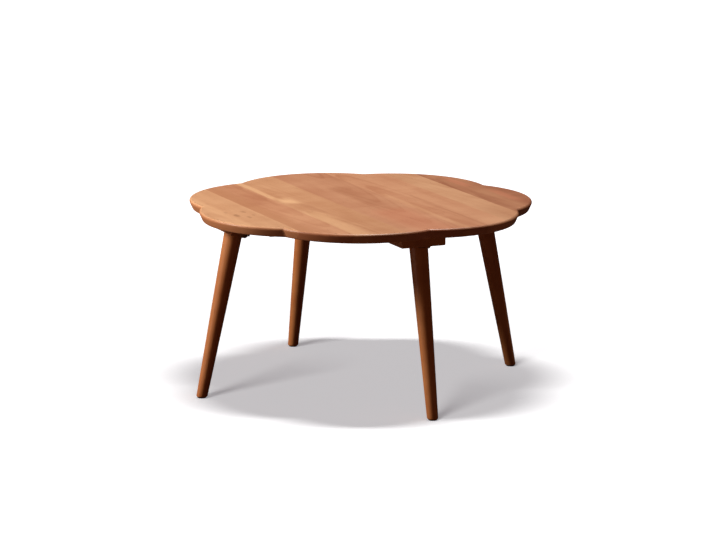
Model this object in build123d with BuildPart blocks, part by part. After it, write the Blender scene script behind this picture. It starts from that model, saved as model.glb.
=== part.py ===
from build123d import *
from math import atan, cos, degrees, hypot, radians, sin, tan
import os

# A low round table. Its scalloped top is glued up from seven boards, and four splayed legs
# each fold flat under it on a steel hinge. The origin is on the floor under the middle of
# the top, +Z is up, and the boards' grain runs along Y. Lengths are in millimetres.

# ---- driving dimensions ----
# The top
table_height = 425  # floor to upper face
tip_radius = 400  # table centre to the middle of a lobe
notch_depth = 31  # tip circle to the notch between two lobes
lobes = 7
first_notch = -90  # degrees round from +X, over the front leg
top_thickness = 22
edge_round = 5  # upper edge of the rim
rim_band = 1  # upright part of the rim, under its upper edge
rim_inset = 7  # from there the rim slants inwards to the underside
under_round = 4  # lower edge of the rim
notch_round = 8
seam_shares = (-0.675, -0.445, -0.15, 0.19, 0.51, 0.68)  # board joints, of the tip radius

# The legs
foot_inset = 6  # tip circle to the middle of a foot
leg_inset = 86  # tip circle to the middle of a leg's head
foot_radius = 12.5
head_radius = 21
foot_round = 3
pad_thickness = 2
pad_radius = 10

# The cleat that each leg stands against
cleat_width = 108  # along the rim
cleat_length = 106  # towards the centre
cleat_thickness = 23
cleat_overhang = 28  # leg centre to the cleat's outer face
cleat_round = 3

# The two battens that keep the top flat
batten_inset = 110  # tip circle to a batten's end
batten_width = 50
batten_thickness = 12
batten_spacing = 260
batten_corner = 3
batten_chamfer = 2

# The folding hinge
fold_skew = 45  # from the line to the centre round to the way the leg folds
steel = 2.5  # sheet of both hinge leaves
leaf_width = 32
leaf_corner = 4
leaf_share = 0.8  # how far the leaves reach past the leg's middle, of the head's radius
front_reach = 22  # pin to the fixed leaf's far end
ear_radius = 5.8
ear_gap = 0.2  # between an ear and the knuckle, each side
leaf_setback = 1.4  # between the ears and the moving leaf's edge
head_clearance = 2.2  # ear to the leg's head
fit_gap = 0.2  # round a leaf let into wood
knuckle_radius = 5.6
knuckle_gap = 0.4  # between the knuckle and the fixed leaf
web_angle = 190  # where the web runs into the knuckle, degrees round from the folding way
web_clearance = 0.6  # web to the leg's head

# Its pin
pin_radius = 2.5
running = 0.05  # radial clearance in the knuckle and the ears
pin_play = 0.1  # under each head
pin_head_rim = 1.4  # head past the shank, all round
pin_head_height = 1.5
pin_head_chamfer = 0.8

# The catch: a flat spring that clicks onto two flats of the knuckle
cam_depth = 0.8  # how far a flat is cut into the knuckle
spring_thickness = 0.8
spring_width = 15
spring_slope = 40  # below level, the way the spring presses on the knuckle
spring_gap = 0.1
spring_bend = 1.2  # radius of its bends
spring_setback = 1  # fixed leaf's end to the spring's
spring_tail = 3.2  # middle of the flat to the start of the curl
curl_run = 0.3
curl_drop = 1.6

# The stop heels, which meet the fixed leaf when the leg is folded
heel_width = 2.6
heel_start = 1
heel_reach = 6.5
heel_back = 80  # degrees from the heel's face round to where it leaves the knuckle
stop_gap = 0.1

# Screws and rivets
screw_radius = 2
screw_head_radius = 4
small_screw_radius = 1.75
small_head_radius = 3.5
countersink = 90
screw_clearance = 0.05
cleat_screw_length = 35
cleat_screw_inset = 12  # from the cleat's sides
batten_screw_length = 24
hinge_screw_length = 17
back_hinge_screw = (8, 6)  # from the leaf's end and side, behind the leg
front_hinge_screw = (5, 4)  # the same at the catch's end
leg_screw_length = 28
leg_screw_count = 3
leg_screw_share = 0.52  # leg centre to a leg screw, of the head's radius
rivet_radius = 1.5
rivet_head_radius = 2.4
rivet_head_height = 0.9
rivet_bite = 2  # into the fixed leaf
rivet_inset = 5  # from the fixed leaf's end
rivet_spacing = 8

# ---- what follows from them ----
underside = table_height - top_thickness
cleat_face = underside - cleat_thickness  # the cleats' lower face
batten_face = underside - batten_thickness
head_level = cleat_face - steel  # top of each wooden leg
valley_radius = tip_radius - notch_depth
foot_circle = tip_radius - foot_inset
leg_circle = tip_radius - leg_inset
batten_length = 2 * (tip_radius - batten_inset)
seams = [share * tip_radius for share in seam_shares]
lean = degrees(atan((foot_circle - leg_circle) / head_level))
side_lean = degrees(atan(tan(radians(lean)) * cos(radians(fold_skew))))
fold_angle = 90 + side_lean
pin_offset = head_radius + head_clearance + ear_radius  # leg centre to pin, the way it folds
pin_drop = knuckle_radius + knuckle_gap  # pin below the cleat's lower face
knuckle_width = leaf_width - 2 * steel - 2 * ear_gap
leaf_back = pin_offset + leaf_share * head_radius  # pin to the leaves' end behind the leg
flat_distance = knuckle_radius - cam_depth

SIDES = {"front": 0, "right": 90, "back": 180, "left": 270}
STANDING = (Align.CENTER, Align.CENTER, Align.MIN)  # a solid that stands on its plane


def save(part, name):
    """Label a finished piece and write it to its own file."""
    part.label = name
    export_step(part, f"parts/{name}.step")


def turned(plane, turn):
    """The plane carried round the table's centre line by turn degrees."""
    return Plane(Location((0, 0, 0), (0, 0, turn)) * plane.location)


def cleat_plane(turn):
    """The cleat's lower face, over a leg's middle: X runs along the rim, Y to the centre."""
    return turned(Plane(origin=(0, -leg_circle, cleat_face)), turn)


def hinge_plane(turn, rise=0.0):
    """Level plane through a hinge pin: X is the way the leg folds, Y lies along the pin."""
    skew = radians(fold_skew)
    way = (sin(skew), cos(skew), 0)
    pin = (pin_offset * way[0], pin_offset * way[1] - leg_circle, cleat_face - pin_drop + rise)
    return turned(Plane(origin=pin, x_dir=way), turn)


def hinge_side_plane(turn):
    """Upright plane square to a hinge pin: X is the way the leg folds, Y is up."""
    level = hinge_plane(turn)
    return Plane(origin=level.origin, x_dir=level.x_dir, z_dir=-level.y_dir)


def flipped(plane):
    """The same plane with its normal down, for what is drilled or driven from above."""
    return Plane(origin=plane.origin, x_dir=plane.x_dir, z_dir=-plane.z_dir)


def mirrored(spots):
    """The spots as they stand on the flipped plane."""
    return [(x, -y) for x, y in spots]


def polar(radius, angle):
    """A point at a radius and an angle in degrees."""
    return (radius * cos(radians(angle)), radius * sin(radians(angle)))


def pilot_holes(plane, spots, radius, depth):
    """Drill the open part for screws that go in along the plane's normal."""
    with Locations(plane):
        with Locations(*spots):
            Cylinder(
                radius + screw_clearance,
                depth + screw_clearance,
                align=STANDING,
                mode=Mode.SUBTRACT,
            )


def countersunk_holes(plane, spots, radius, head):
    """Countersunk holes through the open part, from the face that the plane looks out of."""
    with Locations(plane):
        with Locations(*spots):
            CounterSinkHole(
                radius + screw_clearance, head + screw_clearance, counter_sink_angle=countersink
            )


# ---- where the screws go ----
# Two screws stand in the cleat's corners that the skewed hinge leaf leaves free.
cleat_side = cleat_width / 2 - cleat_screw_inset
cleat_screw_spots = [
    (-cleat_side, cleat_length - cleat_overhang - cleat_screw_inset),
    (cleat_side, cleat_screw_inset - cleat_overhang),
]
batten_screw_spots = [
    ((left + right) / 2, y * batten_spacing / 2)
    for left, right in zip(seams[:-1], seams[1:])
    for y in (-1, 1)
]
hinge_screw_spots = [
    (x, hand * (leaf_width / 2 - side))
    for x, side in (
        (back_hinge_screw[0] - leaf_back, back_hinge_screw[1]),
        (front_reach - front_hinge_screw[0], front_hinge_screw[1]),
    )
    for hand in (-1, 1)
]
leg_screw_turns = [screw * 360 / leg_screw_count for screw in range(leg_screw_count)]
leg_screw_spots = [
    (x - pin_offset, y)
    for x, y in (polar(leg_screw_share * head_radius, angle) for angle in leg_screw_turns)
]
rivet_spots = [(front_reach - rivet_inset, hand * rivet_spacing / 2) for hand in (-1, 1)]


# ---- the top ----
def top_blank():
    """The glued-up top before its boards are told apart, with the screws' pilot holes."""
    step = 360 / lobes
    with BuildPart() as blank:
        with BuildSketch(Plane.XY.offset(underside)) as outline:
            with BuildLine():
                for lobe in range(lobes):
                    start = first_notch + lobe * step
                    ThreePointArc(
                        polar(valley_radius, start),
                        polar(tip_radius, start + step / 2),
                        polar(valley_radius, start + step),
                    )
            make_face()
            fillet(outline.vertices(), notch_round)
        extrude(amount=top_thickness)
        base = blank.faces().sort_by(Axis.Z)[0]
        slant_height = top_thickness - edge_round - rim_band
        chamfer(base.edges(), rim_inset, slant_height, reference=base)
        fillet(blank.faces().sort_by(Axis.Z)[0].edges(), under_round)
        fillet(blank.faces().sort_by(Axis.Z)[-1].edges(), edge_round)
        for turn in SIDES.values():
            pilot_holes(cleat_plane(turn), cleat_screw_spots, screw_radius, cleat_screw_length)
        batten_plane = Plane.XY.offset(batten_face)
        pilot_holes(batten_plane, batten_screw_spots, screw_radius, batten_screw_length)
    return blank.part


def top_boards():
    """Cut the blank along its seams into one piece per board."""
    blank = top_blank()
    reach = 2 * tip_radius
    edges = (-reach, *seams, reach)
    for number, (left, right) in enumerate(zip(edges[:-1], edges[1:]), start=1):
        with BuildPart() as board:
            add(blank)
            with Locations(((left + right) / 2, 0, table_height)):
                Box(right - left, 2 * reach, 4 * top_thickness, mode=Mode.INTERSECT)
        save(board.part, f"top_board_{number}")


# ---- cleats and battens ----
def cleat(side, turn):
    """A block under the top, with a pocket that lets the hinge's fixed leaf in flush."""
    plane = cleat_plane(turn)
    with BuildPart() as block:
        with BuildSketch(plane):
            with Locations((0, cleat_length / 2 - cleat_overhang)):
                RectangleRounded(cleat_width, cleat_length, cleat_round)
        extrude(amount=cleat_thickness)
        fillet(block.faces().sort_by(Axis.Z)[0].edges(), cleat_round)
        with BuildSketch(hinge_plane(turn, pin_drop)):
            fixed_leaf_outline(fit_gap)
        extrude(amount=steel, mode=Mode.SUBTRACT)
        countersunk_holes(
            flipped(plane), mirrored(cleat_screw_spots), screw_radius, screw_head_radius
        )
        pilot_holes(
            hinge_plane(turn, pin_drop), hinge_screw_spots, small_screw_radius, hinge_screw_length
        )
    save(block.part, f"{side}_cleat")


def batten(name, y):
    """A flat strip screwed across the grain."""
    plane = Plane.XY.offset(batten_face)
    spots = [spot for spot in batten_screw_spots if spot[1] * y > 0]
    with BuildPart() as strip:
        with BuildSketch(plane):
            with Locations((0, y)):
                RectangleRounded(batten_length, batten_width, batten_corner)
        extrude(amount=batten_thickness)
        chamfer(strip.faces().sort_by(Axis.Z)[0].edges(), batten_chamfer)
        countersunk_holes(flipped(plane), mirrored(spots), screw_radius, screw_head_radius)
    save(strip.part, name)


# ---- the folding hinge ----
def fixed_leaf_outline(grown=0.0):
    """The fixed leaf seen from above, about the pin, drawn into the open sketch."""
    with Locations(((front_reach - leaf_back) / 2, 0)):
        RectangleRounded(
            front_reach + leaf_back + 2 * grown, leaf_width + 2 * grown, leaf_corner + grown
        )


def pin_hole(turn):
    """Bore the open part for the hinge pin."""
    with Locations(hinge_side_plane(turn)):
        Cylinder(pin_radius + running, 2 * leaf_width, mode=Mode.SUBTRACT)


def hinge_plate(side, turn):
    """The fixed leaf: a plate with two ears turned down to hold the pin."""
    lower_face = flipped(hinge_plane(turn, pin_drop))
    with BuildPart() as plate:
        with BuildSketch(hinge_plane(turn, pin_drop)):
            fixed_leaf_outline()
        extrude(amount=steel)
        with BuildSketch(hinge_side_plane(turn)):
            Circle(ear_radius)
            Rectangle(2 * ear_radius, pin_drop + steel / 2, align=(Align.CENTER, Align.MIN))
        extrude(amount=leaf_width / 2, both=True)
        with BuildSketch(hinge_side_plane(turn)):
            with Locations((0, pin_drop)):
                Rectangle(leaf_width, 2 * (pin_drop + ear_radius), align=(Align.CENTER, Align.MAX))
        extrude(amount=leaf_width / 2 - steel, both=True, mode=Mode.SUBTRACT)
        pin_hole(turn)
        countersunk_holes(
            lower_face, mirrored(hinge_screw_spots), small_screw_radius, small_head_radius
        )
        with Locations(lower_face):
            with Locations(*mirrored(rivet_spots)):
                Hole(rivet_radius + screw_clearance)
    save(plate.part, f"{side}_hinge_plate")


def point_along(distance, normal, along):
    """A point on the line a distance from the pin with this normal, some way along it."""
    foot = polar(distance, normal)
    run = polar(along, normal - 90)
    return (foot[0] + run[0], foot[1] + run[1])


def web_profile():
    """The web that joins the moving leaf to the knuckle, seen along the pin."""
    web_edge = pin_offset - head_radius - web_clearance
    Polygon(
        (-leaf_back / 2, pin_drop),
        (0, pin_drop),
        (0, 0),
        polar(knuckle_radius, web_angle),
        (-web_edge, pin_drop - steel),
        (-leaf_back / 2, pin_drop - steel),
        align=None,
    )


def cam_flats():
    """Cut the knuckle's flats, one for the standing leg and one for the folded leg."""
    for way in (-spring_slope, -spring_slope - fold_angle):
        with Locations(Location(polar(flat_distance, way), way)):
            Rectangle(
                knuckle_radius,
                2 * knuckle_radius,
                align=(Align.MIN, Align.CENTER),
                mode=Mode.SUBTRACT,
            )


def leg_plate(side, turn):
    """The moving leaf: a plate on the leg's head with a cam knuckle and two stop heels."""
    side_plane = hinge_side_plane(turn)
    upper_face = hinge_plane(turn, pin_drop)
    edge = ear_radius + leaf_setback
    normal = -side_lean
    heel_points = [
        (0, 0),
        point_along(pin_drop - stop_gap, normal, heel_start),
        point_along(pin_drop - stop_gap, normal, heel_reach),
        polar(knuckle_radius, normal - heel_back),
    ]
    with BuildPart() as leaf:
        with BuildSketch(upper_face):
            with Locations((-edge, 0)):
                Rectangle(leaf_back - edge, leaf_width, align=(Align.MAX, Align.CENTER))
        extrude(amount=-steel)
        ends = leaf.edges().filter_by(Axis.Z).sort_by_distance(side_plane.origin)
        fillet(ends[-2:], leaf_corner)
        with BuildSketch(side_plane):
            Circle(knuckle_radius)
            web_profile()
            cam_flats()
        extrude(amount=knuckle_width / 2, both=True)
        for hand in (-1, 1):
            with BuildSketch(side_plane.offset(hand * (knuckle_width / 2 - heel_width))):
                Polygon(*heel_points, align=None)
            extrude(amount=hand * heel_width)
        pin_hole(turn)
        countersunk_holes(upper_face, leg_screw_spots, small_screw_radius, small_head_radius)
    save(leaf.part, f"{side}_leg_plate")


def hinge_pin(side, turn):
    """A shouldered rivet through both ears and the knuckle."""
    side_plane = hinge_side_plane(turn)
    shoulder = leaf_width / 2 + pin_play
    with BuildPart() as pin:
        with BuildSketch(side_plane):
            Circle(pin_radius)
        extrude(amount=shoulder, both=True)
        for hand in (-1, 1):
            with BuildSketch(side_plane.offset(hand * shoulder)):
                Circle(pin_radius + pin_head_rim)
            extrude(amount=hand * pin_head_height)
        rims = pin.edges().filter_by(GeomType.CIRCLE).sort_by_distance(side_plane.origin)
        chamfer(rims[-2:], pin_head_chamfer)
    save(pin.part, f"{side}_hinge_pin")


def catch_spring(side, turn):
    """A bent strip riveted under the fixed leaf, pressing on a flat of the knuckle."""
    middle = flat_distance + spring_gap + spring_thickness / 2
    root_level = pin_drop - spring_thickness / 2
    slope = radians(spring_slope)
    root = (front_reach - spring_setback, root_level)
    bend = ((middle + root_level * sin(slope)) / cos(slope), root_level)
    tail = point_along(middle, -spring_slope, spring_tail)
    curl = (tail[0] + curl_run, tail[1] - curl_drop)
    with BuildPart() as spring:
        with BuildSketch(hinge_side_plane(turn)):
            with BuildLine() as path:
                FilletPolyline(root, bend, tail, curl, radius=spring_bend)
            trace(path.line, spring_thickness)
        extrude(amount=spring_width / 2, both=True)
        with Locations(hinge_plane(turn, pin_drop)):
            with Locations(*rivet_spots):
                Hole(rivet_radius + screw_clearance, depth=2 * spring_thickness)
    save(spring.part, f"{side}_catch_spring")


# ---- the legs ----
def wooden_leg(side, turn):
    """A turned, tapered leg, cut level at head and foot."""
    axis = (0, sin(radians(lean)), cos(radians(lean)))
    axis_plane = turned(Plane(origin=(0, -foot_circle, 0), x_dir=(1, 0, 0), z_dir=axis), turn)
    length = hypot(head_level, foot_circle - leg_circle)
    waste = head_radius  # turned past both cuts
    taper = (head_radius - foot_radius) / length
    with BuildPart() as leg:
        with Locations(axis_plane.offset(-waste)):
            Cone(
                foot_radius - taper * waste,
                head_radius + taper * waste,
                length + 2 * waste,
                align=STANDING,
            )
        split(bisect_by=Plane.XY.offset(pad_thickness), keep=Keep.TOP)
        split(bisect_by=Plane.XY.offset(head_level), keep=Keep.BOTTOM)
        fillet(leg.faces().sort_by(Axis.Z)[0].edges(), foot_round)
        pilot_holes(
            flipped(hinge_plane(turn, pin_drop)),
            mirrored(leg_screw_spots),
            small_screw_radius,
            leg_screw_length,
        )
    save(leg.part, f"{side}_leg")


def foot_pad(side, turn):
    """A felt disc under the foot."""
    middle = foot_circle - pad_thickness * tan(radians(lean))
    with BuildPart() as pad:
        with BuildSketch(turned(Plane(origin=(0, -middle, 0)), turn)):
            Circle(pad_radius)
        extrude(amount=pad_thickness)
    save(pad.part, f"{side}_foot_pad")


# ---- screws and rivets ----
def screws(name, planes, spots, radius, head, length):
    """Countersunk screws, driven along each plane's normal from its spots."""
    with BuildPart(*planes) as group:
        with Locations(*spots):
            Cone(head, radius, head - radius, align=STANDING)
        with Locations(*[(x, y, head - radius) for x, y in spots]):
            Cylinder(radius, length - head + radius, align=STANDING)
    save(group.part, name)


def rivets():
    """Rivets that hold each catch spring under its fixed leaf."""
    head_drop = pin_drop - spring_thickness - rivet_head_height
    planes = [hinge_plane(turn, head_drop) for turn in SIDES.values()]
    length = rivet_head_height + spring_thickness + rivet_bite
    with BuildPart(*planes) as group:
        with Locations(*rivet_spots):
            Cylinder(rivet_head_radius, rivet_head_height, align=STANDING)
            Cylinder(rivet_radius, length, align=STANDING)
    save(group.part, "catch_rivets")


# ---- the whole table ----
os.makedirs("parts", exist_ok=True)
top_boards()
batten("near_batten", -batten_spacing / 2)
batten("far_batten", batten_spacing / 2)
for side, turn in SIDES.items():
    cleat(side, turn)
    hinge_plate(side, turn)
    hinge_pin(side, turn)
    catch_spring(side, turn)
    wooden_leg(side, turn)
    leg_plate(side, turn)
    foot_pad(side, turn)
    screws(
        f"{side}_leg_screws",
        [flipped(hinge_plane(turn, pin_drop))],
        mirrored(leg_screw_spots),
        small_screw_radius,
        small_head_radius,
        leg_screw_length,
    )
screws(
    "cleat_screws",
    [cleat_plane(turn) for turn in SIDES.values()],
    cleat_screw_spots,
    screw_radius,
    screw_head_radius,
    cleat_screw_length,
)
screws(
    "hinge_screws",
    [hinge_plane(turn, pin_drop) for turn in SIDES.values()],
    hinge_screw_spots,
    small_screw_radius,
    small_head_radius,
    hinge_screw_length,
)
screws(
    "batten_screws",
    [Plane.XY.offset(batten_face)],
    batten_screw_spots,
    screw_radius,
    screw_head_radius,
    batten_screw_length,
)
rivets()
print(f"lean {lean:.3f}, fold angle {fold_angle:.3f}")
for side, turn in SIDES.items():
    hinge = hinge_plane(turn)
    print(side, "pin", tuple(hinge.origin), "axis", tuple(-hinge.y_dir))
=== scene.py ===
import random
from math import atan, cos, degrees, hypot, pi, radians, sin

import bmesh
import bpy
from mathutils import Matrix, Vector


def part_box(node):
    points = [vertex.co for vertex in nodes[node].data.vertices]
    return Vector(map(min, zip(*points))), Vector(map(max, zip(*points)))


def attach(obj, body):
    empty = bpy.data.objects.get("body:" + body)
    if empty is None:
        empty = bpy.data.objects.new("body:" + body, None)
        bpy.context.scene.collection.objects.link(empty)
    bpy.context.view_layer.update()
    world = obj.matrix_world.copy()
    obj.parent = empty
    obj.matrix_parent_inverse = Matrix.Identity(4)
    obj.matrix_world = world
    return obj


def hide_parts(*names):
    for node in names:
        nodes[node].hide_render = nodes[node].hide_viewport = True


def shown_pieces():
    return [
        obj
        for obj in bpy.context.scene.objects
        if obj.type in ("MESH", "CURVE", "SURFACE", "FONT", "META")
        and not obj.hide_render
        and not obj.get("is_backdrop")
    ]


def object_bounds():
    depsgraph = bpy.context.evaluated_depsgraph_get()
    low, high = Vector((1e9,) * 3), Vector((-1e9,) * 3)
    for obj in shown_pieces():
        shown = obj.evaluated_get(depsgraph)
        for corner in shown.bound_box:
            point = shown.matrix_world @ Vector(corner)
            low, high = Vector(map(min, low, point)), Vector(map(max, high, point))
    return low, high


# %% [markdown]
# # A low table with a seven-lobed top and folding legs
# The table is dressed piece by piece over a frame that already knows where each part is and
# how each leg turns. Loading the frame first means that nothing has to be fitted by eye: each
# board, screw and plate has a node whose box says how large it is and where it belongs.

# %% Load the frame
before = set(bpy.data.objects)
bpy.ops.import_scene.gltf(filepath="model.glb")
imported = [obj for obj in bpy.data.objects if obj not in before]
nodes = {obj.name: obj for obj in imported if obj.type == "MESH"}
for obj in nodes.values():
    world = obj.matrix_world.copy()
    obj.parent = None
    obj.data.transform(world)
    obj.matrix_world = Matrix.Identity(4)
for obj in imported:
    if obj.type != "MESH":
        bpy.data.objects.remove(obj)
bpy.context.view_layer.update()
SIDES = {"front": 0, "right": 90, "back": 180, "left": 270}

# %% [markdown]
# ## Short names for node work
# Wood, steel and felt are painted with shader nodes, and the top and the screws are grown with
# geometry nodes. Two small classes keep both kinds of tree readable. A `Number` turns
# `a * b + c` into Math nodes, so that a rule in the tree reads like the formula it is. A `Graph`
# has one short call for each kind of node, which adds it and hands back its output.


# %% Outputs that can be written as formulas
def sign(operation, turned=False):
    """A method that joins two numbers by a Math node, the second of them first if turned."""

    def method(self, other):
        sides = (other, self) if turned else (self, other)
        return self.graph.math(operation, *sides)

    return method


class Number:
    """An output that carries a number, so that a rule can be written as a formula."""

    def __init__(self, graph, socket):
        self.graph = graph
        self.socket = socket

    __add__ = sign("ADD")
    __radd__ = sign("ADD", turned=True)
    __sub__ = sign("SUBTRACT")
    __rsub__ = sign("SUBTRACT", turned=True)
    __mul__ = sign("MULTIPLY")
    __truediv__ = sign("DIVIDE")
    __rtruediv__ = sign("DIVIDE", turned=True)
    __pow__ = sign("POWER")


# %% One short call for each kind of node
class Graph:
    """A node tree with the calls used below."""

    def __init__(self, tree):
        self.tree = tree

    def feed(self, socket, value):
        """Link an output to a socket, or set the socket's own value."""
        if isinstance(value, Number):
            value = value.socket
        if isinstance(value, bpy.types.NodeSocket):
            self.tree.links.new(value, socket)
        elif value is not None:
            socket.default_value = value

    def fill(self, node, inputs):
        """Feed a node's inputs by name or number."""
        for key, value in inputs.items():
            self.feed(node.inputs[key], value)

    def node(self, kind, inputs=None, **settings):
        """Add a node, set its options, and feed its inputs."""
        made = self.tree.nodes.new(kind)
        for key, value in settings.items():
            setattr(made, key, value)
        self.fill(made, inputs or {})
        return made

    def math(self, operation, *values):
        made = self.node("ShaderNodeMath", dict(enumerate(values)), operation=operation)
        return Number(self, made.outputs[0])

    def number(self, socket):
        return Number(self, socket)

    def vector(self, *parts):
        """A vector put together from numbers."""
        return self.node("ShaderNodeCombineXYZ", dict(enumerate(parts))).outputs[0]

    def axes(self, vector):
        """A vector taken apart into its three numbers."""
        made = self.node("ShaderNodeSeparateXYZ", {0: vector})
        return [Number(self, socket) for socket in made.outputs]

    def vector_math(self, operation, *values):
        return self.node("ShaderNodeVectorMath", dict(enumerate(values)), operation=operation)

    def length(self, vector):
        return Number(self, self.vector_math("LENGTH", vector).outputs["Value"])

    def between(self, value, low, high):
        """0 below low, 1 above high, and a smooth rise in between."""
        made = self.node(
            "ShaderNodeMapRange", {0: value, 1: low, 2: high}, interpolation_type="SMOOTHSTEP"
        )
        return Number(self, made.outputs[0])

    def mix(self, share, first, second, blend="MIX"):
        """Blend two colours."""
        made = self.node("ShaderNodeMix", data_type="RGBA", blend_type=blend)
        self.feed(made.inputs["Factor"], share)
        colours = [s for s in made.inputs if s.type == "RGBA"]
        self.feed(colours[0], first)
        self.feed(colours[1], second)
        return [s for s in made.outputs if s.type == "RGBA"][0]

    def noise(self, vector, scale, detail=2.0, rough=0.5):
        made = self.node(
            "ShaderNodeTexNoise",
            {"Vector": vector, "Scale": scale, "Detail": detail, "Roughness": rough},
        )
        return Number(self, made.outputs[0])

    def stretch(self, vector, *scale):
        """Scale a vector, which stretches the pattern that reads it."""
        return self.vector_math("MULTIPLY", vector, scale).outputs[0]

    def drawn_out(self, vector, squeeze, scale, detail):
        """Noise whose cells are drawn out along Y. A smaller squeeze makes them longer."""
        return self.noise(self.stretch(vector, 1, squeeze, 1), scale, detail)

    def bump(self, height, strength, distance):
        """Normals that lean as if the surface rose by up to a distance."""
        values = {"Height": height, "Strength": strength, "Distance": distance}
        return self.node("ShaderNodeBump", values).outputs[0]

    def moved(self, mesh, **values):
        """A mesh after a Translation, Rotation or Scale."""
        return self.node("GeometryNodeTransform", {"Geometry": mesh, **values}).outputs[0]

    def use(self, tree, inputs):
        """Run a shader group, and hand back its outputs by name."""
        made = self.node("ShaderNodeGroup", node_tree=tree)
        self.fill(made, inputs)
        return {socket.name: Number(self, socket) for socket in made.outputs}


# %% A helper that starts a node group
KINDS = {bool: "Bool", int: "Int", float: "Float"}


def group(kind, name, inputs, outputs):
    """Start a group. An input is named with its default, or with its kind where it has none."""
    tree = bpy.data.node_groups.new(name, kind)
    for label, default in inputs.items():
        socket_type = "NodeSocket" + KINDS.get(type(default), str(default))
        made = tree.interface.new_socket(label, in_out="INPUT", socket_type=socket_type)
        if not isinstance(default, str):
            made.default_value = default
    for label, output in outputs.items():
        tree.interface.new_socket(label, in_out="OUTPUT", socket_type="NodeSocket" + output)
    graph = Graph(tree)
    start = graph.node("NodeGroupInput")
    given = {socket.name: Number(graph, socket) for socket in start.outputs}
    return graph, given, graph.node("NodeGroupOutput")


# %% Colours
def linear(red, green, blue):
    """A colour picked on a 0 to 255 scale, as the light values that a shader works in."""
    parts = [v / 255 for v in (red, green, blue)]
    return (*[v / 12.92 if v <= 0.04045 else ((v + 0.055) / 1.055) ** 2.4 for v in parts], 1.0)


print("a mid brown in light values:", [round(v, 3) for v in linear(198, 143, 107)])

# %% [markdown]
# ## Wood that was once a log
# A plank shows rings because it was sawn out of a trunk. So the pattern is worked out in the
# log, and the piece only shows where its surface cuts through it: long streaks on the faces and
# arcs on the end grain come out by themselves and meet at the edges. The group takes a position
# in which Y runs along the trunk and the heart is at zero. It gives the rings, broad drifts of
# tone, the fine fibre, the small dark gum flecks of cherry wood, and the ripple that crosses it.
#
# A year's ring is dense and dark only in its last part, and some years leave more of that late
# wood than others. Each noise says how it is drawn out and how many of its cells fit in a metre.

# %% Shader group: the inside of a log
log, given, made = group(
    "ShaderNodeTree",
    "Cherry log",
    {"Position": "Vector", "Ring Width": 0.004, "Wander": 0.006, "Seed": 0.0},
    {"Ring": "Float", "Drift": "Float", "Fibre": "Float", "Fleck": "Float", "Ripple": "Float"},
)
SEED_STRIDE = 3.7
LATE_START = 0.45
LATE_END = 0.93
LEAST_VIGOUR = 0.35
across, _, depth = log.axes(given["Position"])
offset = log.vector(given["Seed"] * SEED_STRIDE, given["Seed"], 0.0)
place = log.vector_math("ADD", given["Position"], offset).outputs[0]
bend = log.drawn_out(place, 0.22, 9.0, 3.0) - 0.5
distance = log.math("SQRT", across * across + depth * depth) + bend * given["Wander"]
year = distance / given["Ring Width"]
season = log.math("FRACT", year)
late = log.between(season, LATE_START, LATE_END) - log.between(season, LATE_END, 1.0)
lot = log.node("ShaderNodeTexWhiteNoise", {"W": log.math("FLOOR", year)}, noise_dimensions="1D")
vigour = LEAST_VIGOUR + log.number(lot.outputs["Value"]) * (1.0 - LEAST_VIGOUR)
grain = {
    "Ring": late * vigour,
    "Drift": log.drawn_out(place, 0.09, 16.0, 3.0),
    "Fibre": log.drawn_out(place, 0.02, 1500.0, 2.0),
    "Fleck": log.between(log.drawn_out(place, 0.10, 420.0, 1.0), 0.70, 0.78),
    "Ripple": log.noise(log.stretch(place, 0.5, 1.3, 0.5), 34.0, 2.0),
}
log.fill(made, grain)
log_group = log.tree
print("a log shows its", *grain)

# %% [markdown]
# ## Marks that belong to one board
# Sapwood streaks, a darker vein or a knot sit at one spot of one board. Two small groups make
# them. A streak is a band along the grain with a start and an end, and its edges waver. A knot
# is an oval with a soft rim. Each gives a mask, which the material uses to shift the colour.

# %% Shader group: a streak along the grain
streak, given, made = group(
    "ShaderNodeTree",
    "Grain streak",
    {"Position": "Vector", "Middle": 0.0, "Width": 0.02, "Start": -1.0, "End": 1.0, "Waver": 0.006},
    {"Mask": "Float"},
)
FADE = 0.03
FULL_UNTIL = 0.35
GONE_BY = 1.25
across, along, _ = streak.axes(given["Position"])
waver = streak.drawn_out(given["Position"], 0.25, 22.0, 3.0) - 0.5
aside = across + waver * given["Waver"] * 2.0 - given["Middle"]
half = given["Width"] * 0.5
body = 1.0 - streak.between(streak.math("ABSOLUTE", aside), half * FULL_UNTIL, half * GONE_BY)
along = along + waver * 0.08
start = streak.between(along, given["Start"] - FADE, given["Start"] + FADE)
end = streak.between(along, given["End"] - FADE, given["End"] + FADE)
streak.fill(made, {"Mask": body * start * (1.0 - end)})
streak_group = streak.tree
print("a streak fades in and out over", 2 * FADE, "m")

# %% Shader group: a knot
knot, given, made = group(
    "ShaderNodeTree",
    "Pin knot",
    {"Position": "Vector", "Centre": "Vector", "Size": 0.008},
    {"Mask": "Float"},
)
offset = knot.vector_math("SUBTRACT", given["Position"], given["Centre"]).outputs[0]
ragged = knot.drawn_out(given["Position"], 0.4, 160.0, 2.0) - 0.5
oval = knot.length(knot.stretch(offset, 1, 0.45, 0.15))
reach = oval + ragged * given["Size"] * 0.9
knot.fill(made, {"Mask": 1.0 - knot.between(reach, given["Size"] * 0.3, given["Size"])})
knot_group = knot.tree
print("mark groups:", streak_group.name, "and", knot_group.name)


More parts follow.
